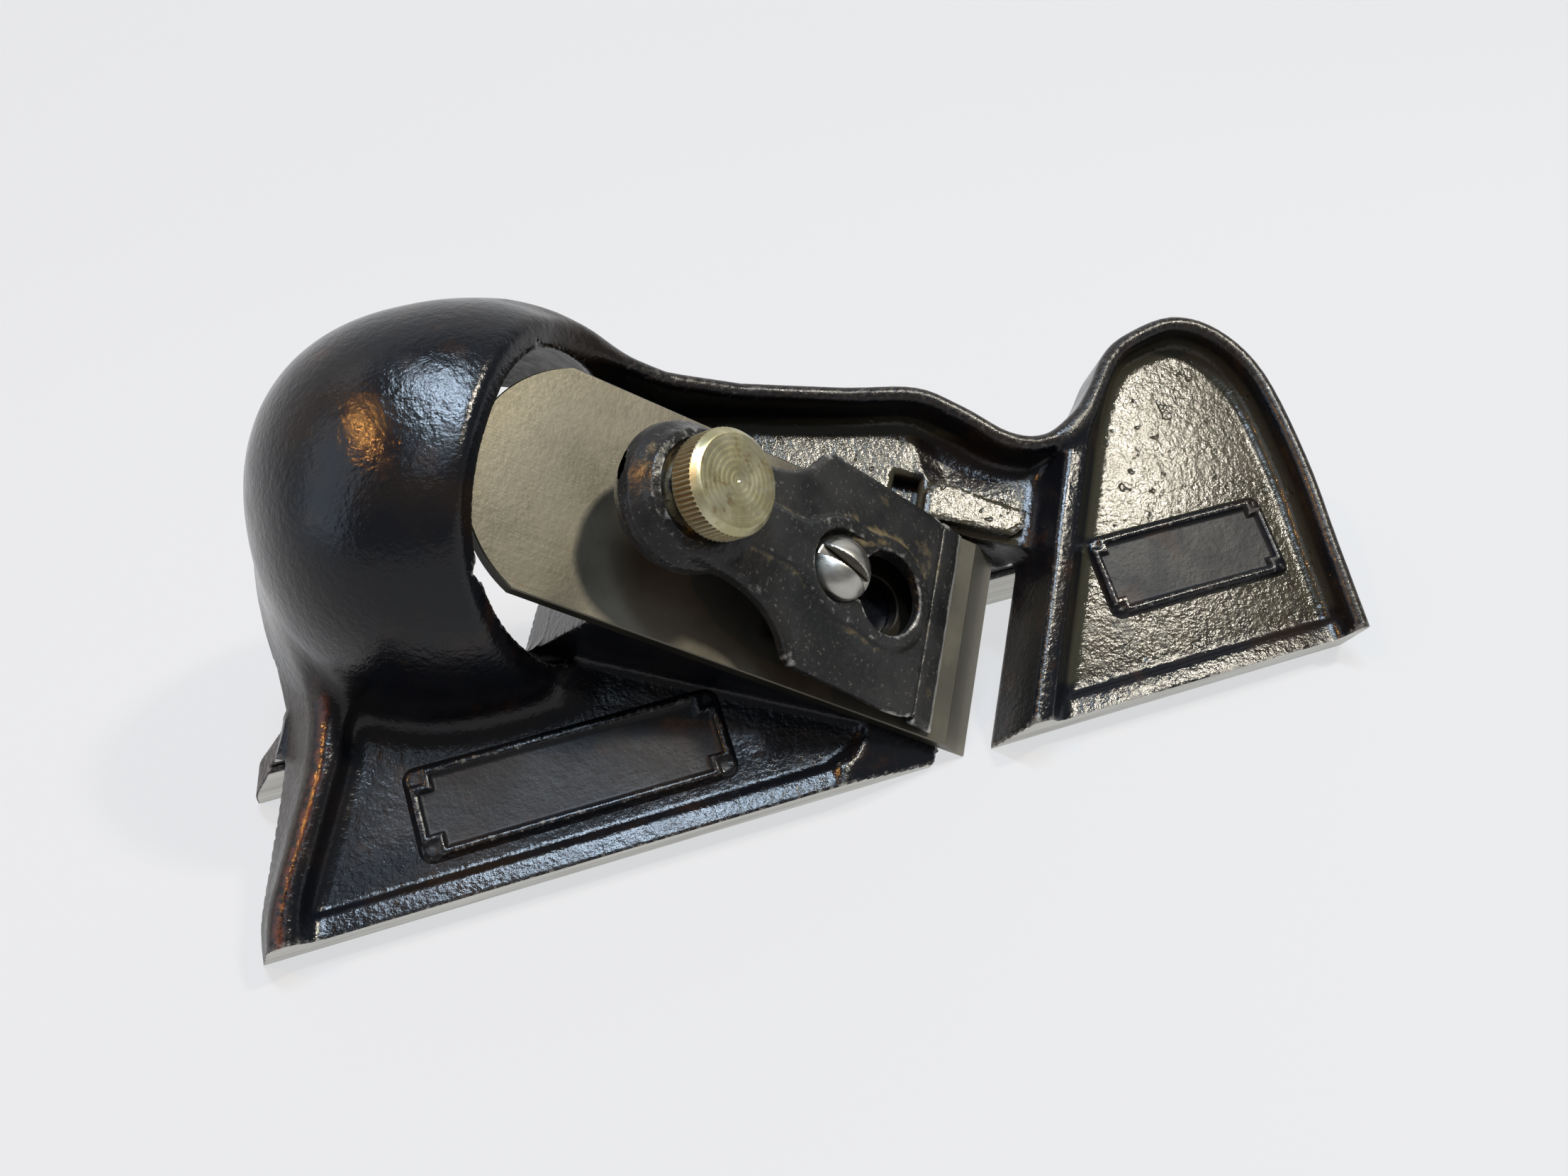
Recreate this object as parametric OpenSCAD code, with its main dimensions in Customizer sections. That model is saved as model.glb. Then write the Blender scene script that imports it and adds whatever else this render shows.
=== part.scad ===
// Edge trimming block plane. An L-shaped casting holds a skewed, low-angle
// iron, so a board's edge is planed square while the fence rides on its face.
// Built with the sole flat (X rear to front, Y from the sole's free edge,
// Z out of the sole), then stood on its two free edges as it rests on a bench.

/* [Body casting] */
// Length of the sole from rear tip to front tip
body_length = 152.4; // [148:0.1:157]
// Width of the sole from its free edge to the fence
sole_width = 24.8; // [24.2:0.1:25.4]
// How far the fence hangs below the sole
fence_drop = 20.6; // [19.6:0.1:21.6]
// Thickness of the fence
fence_thick = 4.6; // [4:0.1:5.2]
// Height of the web's outer face above the sole
web_level = 4.9; // [4.4:0.1:5.4]
// Thickness of the raised rim round the web
rim_thick = 2.6; // [2.2:0.1:3.2]
// Extra height of the strip along the sole's free edge
strip_step = 1; // [0.6:0.1:1.4]
// Height of the palm hood above the sole
hood_height = 39.2; // [38:0.1:41]
// Thickness of the hood's wall
hood_wall = 3; // [2.4:0.1:3.4]
// Height of the raised borders of the two bare plaques
plaque_relief = 0.8; // [0.4:0.1:1.2]

/* [Iron] */
// Angle between the bed and the sole
bed_angle = 22.8; // [22:0.1:23.4]
// Angle of the cutting edge from square across the sole
skew_angle = 28.8; // [28:0.1:29.4]
// Width of the iron
iron_width = 29.65; // [29:0.05:29.8]
// Thickness of the iron
iron_thick = 2.2; // [1.8:0.1:2.6]
// Length of the iron
iron_length = 76.5; // [74:0.1:77]
// Angle of the ground bevel
bevel_angle = 25; // [23:0.5:30]
// Width of the iron's slot for the cap screw
slot_width = 8; // [7:0.1:9]

/* [Lever cap] */
// Width of the lever cap
cap_width = 29; // [28:0.1:29.4]
// Rise of the cap's top face from its lip to its boss
cap_slope = 13.5; // [12.5:0.1:14]
// Thickness of the cap's plate
cap_thick = 3.2; // [2.6:0.1:3.4]
// Radius of the keyhole's large opening
keyhole_radius = 5.5; // [5.2:0.1:5.9]

/* [Screws] */
// Diameter of the thumb screw's knob
knob_diameter = 12.7; // [12:0.1:13.4]
// Thickness of the knob
knob_thick = 5; // [4.4:0.1:5.2]
// Number of knurl ridges round the knob
knurl_count = 64; // [48:1:80]
// Diameter of the thumb screw's shank
thumb_shank = 4.8; // [4.4:0.1:5.2]
// Diameter of the cap screw's head
head_diameter = 8.9; // [8.6:0.1:9.2]
// Diameter of the cap screw's shank
screw_shank = 5; // [4.6:0.1:5.4]

/* [Hidden] */
// running clearance round a shank, and gap left where flat faces rest
run_gap = 0.05;
seat_gap = 0.02;
eps = 0.01;
// length that the outlines below are drawn at
drawn_length = 152.4;
stretch = body_length - drawn_length;
// middle of the palm hood, and how far it reaches back, forward, in and out from there
hood_mid = [36.35, 48.13];
hood_half = [26.6, 27.3, 26.5, 25.6];
hood_far = hood_mid[1] + hood_half[3];
rib_height = 10.2;
// contact corner of the iron and the plane of its bed
edge_x = 92.74;
nose_back = 4.15;
nose_front = 3.38;
side_gap = 0.65;
throat_lean = 15.8;
screw_at = [15, 28.85];
key_at = [15, 20.5];
thumb_at = [15, 50.2];
thumb_height = 20.6;
thumb_tilt = 12.6;
seat_height = 9;
tail_radius = 16.3;
// where the middles of the slot's round ends lie along the iron
slot_ends = [19.5, 33.5];
tip_gap = 0.3;
pad_rise = 1.1;
pit_floor = 2.4;
relief_at = 2;
relief_width = 4;
relief_depth = 0.7;
// height of the cap's top face over the bed at its lip, and how far the cap reaches
cap_lip = 4.7;
cap_reach = 55;
// taller than anything that a profile is cut from
tall = 30;
black = [0.07, 0.07, 0.08];

// Catmull-Rom curve through control points
function blend(a, b, c, d, t) = 0.5 * (2 * b + (c - a) * t
    + (2 * a - 5 * b + 4 * c - d) * t * t + (3 * b - a - 3 * c + d) * t * t * t);
function curve(p, n) = concat([for (i = [0:len(p) - 2]) for (j = [0:n - 1])
    blend(p[max(i - 1, 0)], p[i], p[i + 1], p[min(i + 2, len(p) - 1)], j / n)],
    [p[len(p) - 1]]);
// a path moved sideways to its left
function beside(p, d) = [for (i = [0:len(p) - 1])
    let (t = p[min(i + 1, len(p) - 1)] - p[max(i - 1, 0)])
    p[i] + d * [-t[1], t[0]] / norm(t)];
function swell(x) = x[0] < 110 ? x : [x[0] + (x[0] - 110) / 42.4 * stretch, x[1]];
function sgn_pow(v, p) = sign(v) * pow(abs(v), p);

// Front and top edge of the casting, from the front tip round to the hood
crest_points = [[drawn_length, 0], [153.5, 13.2], [154.6, 26], [154, 40.5], [149.9, 48.9],
    [143.4, 52.6], [135.2, 51.4], [130.9, 49], [126.8, 44.7], [122.6, 41.2], [117, 39.2],
    [112.1, 40.6], [107, 45.6], [101.1, 50], [91.4, 52.3], [76.6, 56.1], [67, 58.6],
    [58.3, 61.9], [50, 64], [38, 64]];
crest = curve([for (p = crest_points) swell(p)], 4);
// Rear edge: how far the flare stands forward of its tip, by distance from the free edge
flare_points = [[0, 0], [0.7, 5], [3.2, 12], [6.3, 20.6], [8.3, 27.5], [9.2, 36], [9.6, 46],
    [11.7, 57]];
flare = curve(flare_points, 3);
function lean(y) = 2.2 + 2.8 * min(y, 20) / 20;

// Frame of the bed: x across the iron, y along it towards the tail, z off the bed
module on_skew() translate([edge_x, 0, 0]) rotate([0, 0, 90 - skew_angle]) children();
module on_bed() on_skew() rotate([bed_angle, 0, 0]) children();
module on_thumb() on_bed() translate([thumb_at[0], thumb_at[1], thumb_height])
    rotate([thumb_tilt, 0, 0]) children();
// Stands the plane on its two free edges, origin at the middle of its footprint
tent = atan2(fence_drop, sole_width);
mid_x = max([for (p = crest) p[0]]) / 2;
mid_y = (hood_far * cos(tent) - rib_height * sin(tent)) / 2;
module stand() translate([-mid_x, -mid_y, 0]) rotate([tent, 0, 0]) children();

// Superellipsoid dome, open below, from the plane z = base upwards
module dome(centre, half, top, base, n, m) {
    function ring(e) = [for (i = [0:n - 1]) let (c = cos(360 * i / n), s = sin(360 * i / n))
        [centre[0] + (c < 0 ? half[0] : half[1]) * sgn_pow(c, 0.87) * pow(cos(e), 0.813),
         centre[1] + (s < 0 ? half[2] : half[3]) * sgn_pow(s, 0.87) * pow(cos(e), 0.813)]];
    levels = [for (k = [0:m - 1]) 90 * k / m];
    points = concat([for (p = ring(0)) [p[0], p[1], base]],
        [for (e = levels) for (p = ring(e)) [p[0], p[1], top * pow(sin(e), 0.813)]],
        [[centre[0], centre[1], top]]);
    start = base < 0 ? 0 : 1;
    faces = concat([[for (i = [0:n - 1]) start * n + i]],
        [for (k = [start:m - 1]) for (i = [0:n - 1]) let (j = (i + 1) % n)
            [k * n + i, (k + 1) * n + i, (k + 1) * n + j, k * n + j]],
        [for (i = [0:n - 1]) let (j = (i + 1) % n) [m * n + i, (m + 1) * n, m * n + j]]);
    polyhedron(points, faces, convexity = 4);
}

module hood_outside() dome(hood_mid, hood_half, hood_height, 0, 36, 9);
module hood_inside() dome(hood_mid, [for (h = hood_half) h - hood_wall],
    hood_height - hood_wall, -1, 32, 8);

// Side wall of a flared end: a ruled surface that leans forward as it rises
module flare_cut(rise) {
    n = len(flare);
    low = -2;
    points = [for (z = [low, rise]) for (p = flare)
        [p[0] + lean(p[1]) * z / 9.1, p[1] == 0 ? -1 : p[1], z]];
    back = [for (z = [low, rise]) for (y = [-1, 57]) [-20, y, z]];
    polyhedron(concat(points, back), concat(
        [for (i = [0:n - 2]) [i, n + i, n + i + 1, i + 1]],
        [concat([for (i = [0:n - 1]) i], [2 * n + 1, 2 * n])],
        [concat([for (i = [0:n - 1]) 2 * n - 1 - i], [2 * n + 2, 2 * n + 3])],
        [[0, 2 * n, 2 * n + 2, n]], [[n - 1, 2 * n - 1, 2 * n + 3, 2 * n + 1]],
        [[2 * n, 2 * n + 1, 2 * n + 3, 2 * n + 2]]), convexity = 4);
}

// Height of the rim along the casting
module rim_heights(top) translate([0, 90, 0]) rotate([90, 0, 0]) linear_extrude(120)
    polygon([[-10, top - 20], [-10, 9.1], [24, 9.1], [36, 20], [48, 25.5], [54, 24], [58.5, 21.8],
        [67, 16.2], [77, 13], [91, 12], [103, 11.7], [112, 11], [118, 10.3], [170, 9.2],
        [170, top - 20]]);

module outline(d) polygon(concat([[body_length - d, -2]], beside(crest, d),
    [[14, 58], [12.3, 56.2], [-2, 56], [-2, -2]]));

module plaque(x, y, w, h) {
    n = 2;
    module card(k) polygon([[n, k], [w - n, k], [w - n, n], [w - k, n], [w - k, h - n],
        [w - n, h - n], [w - n, h - k], [n, h - k], [n, h - n], [k, h - n], [k, n], [n, n]]);
    translate([x, y, web_level - eps]) linear_extrude(plaque_relief + eps) difference() {
        card(0);
        translate([0, 0]) polygon([[n + 1, 1], [w - n - 1, 1], [w - n - 1, n + 1],
            [w - 1, n + 1], [w - 1, h - n - 1], [w - n - 1, h - n - 1], [w - n - 1, h - 1],
            [n + 1, h - 1], [n + 1, h - n - 1], [1, h - n - 1], [1, n + 1], [n + 1, n + 1]]);
    }
}

// Web with its raised rim, hollowed from above and open at the sole's free edge
module tray() difference() {
    intersection() {
        translate([0, 0, 0]) linear_extrude(40) outline(0);
        rim_heights(0);
        translate([-10, 0, 0]) cube([200, 80, 60]);
    }
    flare_cut(30);
    difference() {
        translate([0, 0, web_level]) linear_extrude(60) polygon(concat(
            [[body_length - rim_thick, -3]], beside(crest, rim_thick),
            [[30, 50], [20, 36]],
            [for (i = [len(flare) - 1:-1:0]) if (flare[i][1] < 30)
                flare[i] + [lean(flare[i][1]) + 3.5, 0]], [[5.7, -3]]));
        translate([0, -5, 0]) cube([180, 8, web_level + strip_step]);
    }
}

// Solid ramp that carries the iron, cored from the back beyond the fence
module ramp() difference() {
    intersection() {
        union() {
            on_bed() translate([0.6, 2, -60]) cube([28.4, 54, 60 - seat_gap]);
            on_skew() translate([-10, 0, 0]) cube([20, 15, web_level + strip_step]);
        }
        translate([40, 0, 0]) cube([60, 60, 40]);
    }
    intersection() {
        on_bed() translate([7, 36, -60]) cube([17, 16.5, 60 - 4.6]);
        translate([30, sole_width + fence_thick + 3.4, -1]) cube([60, 40, 60]);
    }
}

// Rib along the front of the mouth
module mouth_rib() intersection() {
    on_skew() translate([-10, 0, 0]) rotate([90, 0, 90]) linear_extrude(56)
        polygon([[-2, 0], [-6.2, rib_height], [-9.2, rib_height - 0.2], [-11.4, web_level],
            [-11.4, 0]]);
    linear_extrude(30) outline(1);
    rim_heights(0);
    translate([90, 0, 0]) cube([60, 60, 60]);
}

// Raised pad on the bridge beyond the mouth's inner end
module mouth_pad() on_skew() linear_extrude(web_level + pad_rise)
    polygon([[31.6, -1.6], [36, -2.2], [36.9, 10.6], [33.6, 10.6], [31.4, 7.3]]);

module fence() difference() {
    translate([0, sole_width, -fence_drop]) cube([body_length + 0.6, fence_thick, fence_drop + 1]);
    translate([0, sole_width, -fence_drop]) rotate([90, 0, 0]) mirror([0, 0, 1]) flare_cut(8);
    // shallow relief groove near the inner corner
    translate([2, sole_width - 1, -relief_at - relief_width])
        cube([body_length + 20, 1 + relief_depth, relief_width]);
}

module body() color(black) stand() difference() {
    union() {
        difference() {
            union() {
                tray();
                difference() {
                    hood_outside();
                    translate([33, 0, 0]) rotate([0, -22.4, -28.8])
                        translate([0, -100, -60]) cube([100, 200, 120]);
                }
            }
            difference() {
                hood_inside();
                translate([0, 0, -2]) cube([90, sole_width + fence_thick - 0.8, 2 + web_level]);
            }
        }
        ramp();
        mouth_rib();
        mouth_pad();
        fence();
        intersection() {
            union() {
                plaque(21.8, 6, 39.7, 10.9);
                plaque(119.3 + stretch / 2, 12.1, 27, 11);
            }
            translate([0, 0, 0]) cube([200, 26, 10]);
        }
    }
    // mouth, and the space above the bed for the iron
    on_skew() translate([-12, 0, 0]) rotate([90, 0, 90])
        linear_extrude(12 + iron_width + side_gap) polygon([[-nose_front + 0.4, -2],
            [nose_back, -2], [nose_back, nose_back * tan(bed_angle)], [40, 40 * tan(bed_angle)],
            [40, 60], [-nose_front - 60 * tan(throat_lean), 60], [-nose_front, 0]]);
    on_bed() translate([-0.35, 10, -seat_gap])
        cube([iron_width + side_gap + 0.35, 72, iron_thick + 1.2]);
    // pit at the end of the mouth's bridge
    on_skew() translate([33.4, 13.2, pit_floor]) cube([3.8, 2.8, 6]);
    on_bed() translate([screw_at[0], screw_at[1], -8])
        cylinder(r = screw_shank / 2 + run_gap, h = 30, $fn = 48);
}

module cutting_iron() color([0.55, 0.53, 0.47]) stand() on_bed() difference() {
    rise = iron_thick / tan(bevel_angle);
    intersection() {
        rotate([90, 0, 90]) linear_extrude(iron_width) polygon([[0, 0], [2.1, 0.85],
            [rise, iron_thick], [iron_length + 1, iron_thick], [iron_length + 1, 0]]);
        translate([0, 0, -1]) linear_extrude(iron_thick + 2) union() {
            square([iron_width, iron_length - tail_radius]);
            intersection() {
                translate([0, 30]) square([iron_width, 60]);
                translate([iron_width / 2, iron_length - tail_radius])
                    circle(tail_radius, $fn = 96);
            }
        }
    }
    for (s = slot_ends) translate([screw_at[0], s, -1])
        cylinder(d = slot_width, h = iron_thick + 2, $fn = 48);
    translate([screw_at[0] - slot_width / 2, slot_ends[0], -1])
        cube([slot_width, slot_ends[1] - slot_ends[0], iron_thick + 2]);
}

// Half outline of the lever cap, from its lip along the wing and neck to the boss
cap_half = concat([[0, 7.6], [cap_width / 2, 7.6], [cap_width / 2, 33.4]],
    curve([[13.9, 34.4], [10.7, 36.9], [8.6, 40.6], [7.7, 45.5], [7.4, 51.5]], 4), [[0, 51.5]]);

module cap_plan() for (m = [0, 1]) mirror([m, 0]) polygon(cap_half);

module lever_cap() color(black) stand() difference() {
    union() {
        on_bed() intersection() {
            translate([screw_at[0], 0, 0]) linear_extrude(tall) cap_plan();
            top = cap_lip + (cap_reach - 10.7) * tan(cap_slope);
            rotate([90, 0, 90]) linear_extrude(40) polygon([[7, iron_thick + seat_gap],
                [10, iron_thick + seat_gap], [12.5, 5.1 - cap_thick + 1.2],
                [cap_reach, top - cap_thick - 0.6], [cap_reach, top], [10.7, cap_lip],
                [7, cap_lip - 1.6]]);
        }
        // boss that the thumb screw runs in, with a raised rim and collar
        on_thumb() rotate_extrude($fn = 64) polygon([[0, -14], [6, -14], [8.2, -12.4],
            [9.1, -10.4], [8.9, -8.8], [8, -7.6], [7.4, -6.4], [6.5, -6.1], [4.2, -5.6],
            [0, -5.6]]);
        // spine from the boss and raised rim round the keyhole
        on_bed() intersection() {
            union() {
                translate([key_at[0], key_at[1], 0])
                    cylinder(r = keyhole_radius + 1.8, h = 20, $fn = 64);
                translate([screw_at[0] - 6.6, key_at[1], 0]) cube([13.2, 8.4, 20]);
                translate([screw_at[0], screw_at[1], 0]) cylinder(r = 6.6, h = 20, $fn = 64);
                translate([screw_at[0] - 3, screw_at[1], 0]) cube([6, 18, 20]);
            }
            rotate([90, 0, 90]) linear_extrude(40) polygon([[12, 4.4], [12, 5.9],
                [46, 5.9 + 34 * tan(cap_slope)], [46, 4.4 + 34 * tan(cap_slope)]]);
        }
    }
    on_bed() {
        // keyhole through the cap, with a flat seat under the screw's head
        translate([key_at[0], key_at[1], 0]) cylinder(r = keyhole_radius, h = 30, $fn = 64);
        translate([screw_at[0] - 2.9, key_at[1], 0])
            cube([5.8, screw_at[1] - key_at[1], 30]);
        translate([screw_at[0], screw_at[1], 0]) cylinder(r = 2.9, h = 30, $fn = 48);
        translate([screw_at[0], screw_at[1], seat_height])
            cylinder(d = head_diameter + 1, h = 20, $fn = 64);
        translate([screw_at[0] - head_diameter / 2 - 0.5, key_at[1], seat_height])
            cube([head_diameter + 1, screw_at[1] - key_at[1], 20]);
    }
    on_thumb() translate([0, 0, -30])
        cylinder(r = thumb_shank / 2 + run_gap, h = 30, $fn = 48);
    // space kept over the iron under the boss
    on_bed() translate([-5, 12, -20]) cube([50, 60, 20 + iron_thick + 2.6]);
}

module thumb_screw() color([0.6, 0.58, 0.5]) stand() on_thumb() {
    reach = (thumb_height - iron_thick) / cos(thumb_tilt);
    r = knob_diameter / 2;
    difference() {
        union() {
            intersection() {
                translate([0, 0, -knob_thick - 1]) linear_extrude(knob_thick + 2)
                    polygon([for (i = [0:2 * knurl_count - 1]) let (a = 180 * i / knurl_count)
                        (r - (i % 2) * 0.3) * [cos(a), sin(a)]]);
                rotate_extrude($fn = 64) polygon([[0, -knob_thick], [r - 0.7, -knob_thick],
                    [r + 0.1, 0.8 - knob_thick], [r + 0.1, -0.9], [r - 0.8, 0], [0, 0]]);
            }
            translate([0, 0, -5.5]) cylinder(r = 3.6, h = 1, $fn = 48);
        }
        translate([0, 0, -0.25]) rotate_extrude($fn = 48) polygon([[0, -0.5], [0.9, 0.3],
            [0, 0.3]]);
    }
    translate([0, 0, 1.6 - reach]) cylinder(d = thumb_shank, h = reach - 3, $fn = 48);
    translate([0, 0, tip_gap + 0.3 - reach])
        cylinder(d1 = thumb_shank - 2.6, d2 = thumb_shank, h = 1.35 - tip_gap, $fn = 48);
}

module cap_screw() color([0.6, 0.6, 0.6]) stand() on_bed()
    translate([screw_at[0], screw_at[1], 0]) {
    rise = 2.9;
    r = head_diameter / 2;
    dome_r = (r * r + rise * rise) / (2 * rise);
    translate([0, 0, -7.5]) cylinder(d = screw_shank, h = 9 + seat_height - 1, $fn = 48);
    difference() {
        intersection() {
            translate([0, 0, seat_height + rise - dome_r]) sphere(dome_r, $fn = 96);
            translate([0, 0, seat_height + seat_gap]) cylinder(r = r, h = rise, $fn = 64);
        }
        rotate([0, 0, 72]) translate([-10, -0.55, seat_height + 1.5]) cube([20, 1.1, 5]);
    }
}

body();
cutting_iron();
lever_cap();
thumb_screw();
cap_screw();
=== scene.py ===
import math

import bmesh
import bpy
import numpy as np
from mathutils import Matrix, Vector


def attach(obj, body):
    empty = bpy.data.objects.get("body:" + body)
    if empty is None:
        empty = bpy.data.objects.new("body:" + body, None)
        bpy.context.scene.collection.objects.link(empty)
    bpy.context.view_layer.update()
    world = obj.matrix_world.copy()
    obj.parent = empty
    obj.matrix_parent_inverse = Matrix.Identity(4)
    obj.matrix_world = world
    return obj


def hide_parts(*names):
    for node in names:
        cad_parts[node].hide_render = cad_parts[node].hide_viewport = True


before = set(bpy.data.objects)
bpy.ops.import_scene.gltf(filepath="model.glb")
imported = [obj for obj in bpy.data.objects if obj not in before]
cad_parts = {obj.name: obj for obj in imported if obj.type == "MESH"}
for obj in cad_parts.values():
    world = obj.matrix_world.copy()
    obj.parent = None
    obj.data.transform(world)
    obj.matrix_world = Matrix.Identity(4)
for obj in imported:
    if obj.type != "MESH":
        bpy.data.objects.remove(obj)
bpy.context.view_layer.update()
MM = 0.001

# The construction frame, in millimetres: X along the sole, Y from the sole's free edge,
# Z out of the sole. STAND turns it into the row frame, where the plane stands on its two
# free edges. BED is the frame of the iron: x across it, y towards its tail, z off the bed.
SOLE_L, SOLE_W, DROP, FENCE_T = 152.4, 24.8, 20.6, 4.6
TENT = math.atan2(DROP, SOLE_W)
# the middle of the standing plane, and the hood's outermost point that its depth runs to
FAR_Y, FAR_Z = 73.73, 10.2
MID_X = 77.3258
MID_Y = (FAR_Y * math.cos(TENT) - FAR_Z * math.sin(TENT)) / 2
# the bed, and where the iron's edge starts on the sole's free edge
BED_ANGLE, SKEW = math.radians(22.8), math.radians(28.8)
EDGE_X = 92.74
# in BED: the iron and its slot, the cap screw and the keyhole's round end, the thumb screw
IRON_W, IRON_T, IRON_L, TAIL_R, SIDE = 29.65, 2.2, 76.5, 16.3, 0.65
MIDLINE, SLOT_R, SLOT_LOW, SLOT_TOP = 15, 4.0, 19.5, 33.5
SCREW_AT, KEY_AT = (MIDLINE, 28.85), (MIDLINE, 20.5)
SEAT_H, HEAD_R, HEAD_RISE = 9.0, 4.45, 2.9
THUMB_AT, THUMB_TILT, KNOB_R, KNOB_T = (MIDLINE, 50.2, 20.6), math.radians(12.6), 6.35, 5.0

STAND = (Matrix.Scale(MM, 4) @ Matrix.Translation((-MID_X, -MID_Y, 0))
         @ Matrix.Rotation(TENT, 4, "X"))
BED = (STAND @ Matrix.Translation((EDGE_X, 0, 0)) @ Matrix.Rotation(math.pi / 2 - SKEW, 4, "Z")
       @ Matrix.Rotation(BED_ANGLE, 4, "X"))
SCREW = BED @ Matrix.Translation((*SCREW_AT, 0))
THUMB = BED @ Matrix.Translation(THUMB_AT) @ Matrix.Rotation(THUMB_TILT, 4, "X")


# ---- shapes as distance fields ------------------------------------------------
def catmull(pts, n):
    """A smooth line through points, in n steps from each to the next."""
    p = np.array(pts, float)
    out = []
    for i in range(len(p) - 1):
        a, b = p[max(i - 1, 0)], p[i]
        c, d = p[i + 1], p[min(i + 2, len(p) - 1)]
        for j in range(n):
            t = j / n
            out.append(0.5 * (2 * b + (c - a) * t + (2 * a - 5 * b + 4 * c - d) * t * t
                              + (3 * b - a - 3 * c + d) * t ** 3))
    out.append(p[-1])
    return np.array(out)


def smin(a, b, k):
    """Union with a fillet of about radius k."""
    h = np.maximum(k - np.abs(a - b), 0) / k
    return np.minimum(a, b) - h * h * (k / 4)


def smax(a, b, k):
    """Intersection with an edge rounded by about k."""
    return -smin(-a, -b, k)


def box2(u, w, u0, u1, w0, w1):
    """A rectangle's field, negative inside."""
    return np.maximum(np.maximum(u0 - u, u - u1), np.maximum(w0 - w, w - w1))


def polygon_field(px, py, poly):
    """Signed distance in a plane to a closed polygon, negative inside."""
    px, py = np.broadcast_arrays(px, py)
    best = np.full(px.shape, 1e9, np.float32)
    inside = np.zeros(px.shape, bool)
    for (x0, y0), (x1, y1) in zip(poly, np.roll(poly, -1, 0)):
        ex, ey = x1 - x0, y1 - y0
        wx, wy = px - x0, py - y0
        t = np.clip((wx * ex + wy * ey) / (ex * ex + ey * ey + 1e-12), 0, 1)
        best = np.minimum(best, (wx - t * ex) ** 2 + (wy - t * ey) ** 2)
        if abs(ey) > 1e-12:
            inside ^= ((y0 > py) != (y1 > py)) & (px < x0 + (py - y0) / ey * ex)
    d = np.sqrt(best)
    return np.where(inside, -d, d)


def column(u, w, poly):
    """A polygon's field on a grid, endless along the grid's third axis."""
    return polygon_field(u[:, :, 0], w[:, :, 0], poly)[:, :, None]


def faded(amount, t):
    """The whole amount where t is well below 0, and none where it is well above."""
    return amount / (1 + np.exp(np.clip(t, -40, 40)))


# heights and widths of the tray, the strip along its free edge, the mouth and the hood
WEB, RIM, RIM_H, REAR_RIM = 4.9, 2.6, 9.1, 3.6
STRIP, STRIP_W, STRIP_TILT = 1.0, 3.1, 0.16
NOSE_BACK, NOSE_FRONT, LEAN = 4.15, 3.38, math.radians(15.8)
HOOD_MID, HOOD_HALF, HOOD_H, HOOD_WALL = (36.35, 48.13), (26.6, 27.3, 26.5, 25.6), 39.2, 3.0
PLAN_POWER, HOOD_POWER = 2.3, 2.46
CREST = catmull([(SOLE_L, 0), (153.5, 13.2), (154.6, 26), (154, 40.5), (149.9, 48.9),
                 (143.4, 52.6), (135.2, 51.4), (130.9, 49), (126.8, 44.7), (122.6, 41.2),
                 (117, 39.2), (112.1, 40.6), (107, 45.6), (101.1, 50), (91.4, 52.3),
                 (76.6, 56.1), (67, 58.6), (58.3, 61.9), (50, 64), (38, 64)], 5)
OUTLINE = np.vstack([[(SOLE_L, -6)], CREST, [(14, 58), (12.3, 56.2), (-6, 56), (-6, -6)]])
FLARE = catmull([(0, 0), (0.7, 5), (3.2, 12), (6.3, 20.6), (8.3, 27.5), (9.2, 36),
                 (9.6, 46), (11.7, 57)], 6)
RIM_TOP = np.array([(-10, 9.1), (24, 9.1), (36, 20), (48, 25.5), (54, 24), (58.5, 21.8),
                    (67, 16.2), (77, 13), (91, 12), (103, 11.7), (112, 11), (118, 10.3),
                    (170, 9.2)])
PLAQUES = ((21.8, 6.0, 39.7, 10.9, 1.9), (119.3, 12.1, 27.0, 11.0, 1.3))
# across the iron and back from its edge: the pad beyond the mouth's end, the pit and the
# recess (middle, half widths, depth) beside it, and the core under the bed
PAD = np.array([(31.3, -1.0), (32.7, -2.5), (35.3, -2.5), (36.9, 10.6), (34.9, 12), (30.9, 12)])
PAD_RISE, PAD_TILT, PAD_X = 1.1, 0.04, 105.6
PIT, PIT_FLOOR = (31.5, 36.9, 12.9, 16.6), 2.2
RECESS_AT, RECESS_HALF, RECESS = (40.4, 5.5), (2.4, 6), 0.45
CORE, CORE_WALL = (7, 24, 36, 52.5), 4.6
NOSE = np.array([(75, -3), (75, 2.9), (77.2, 3.6), (79.2, 5.2), (81.5, 9), (84, 14),
                 (97, 14), (97, -3)])
RIB = np.array([(-10.4, -3), (-3.2, -3), (-3.2, 0.2), (-6.9, 9.1), (-8.2, 8.9), (-10.3, WEB)])


def flare_x(y):
    """Where the rear end stands on the sole."""
    return np.interp(y, FLARE[:, 1], FLARE[:, 0])


def flare_lean(y):
    """How far the rear end leans forward over the rim's height."""
    return 2.2 + 2.8 * np.clip(y, 0, 20) / 20


def flare_field(x, y, z):
    """Positive behind the flared end, negative in the casting."""
    slope = np.interp(y, FLARE[:, 1], np.gradient(FLARE[:, 0], FLARE[:, 1]))
    lean = flare_lean(y) / RIM_H
    return (flare_x(y) + lean * z - x) / np.sqrt(1 + slope ** 2 + lean ** 2)


def above_rim(x, z):
    return z - np.interp(x, RIM_TOP[:, 0], RIM_TOP[:, 1])


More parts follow.
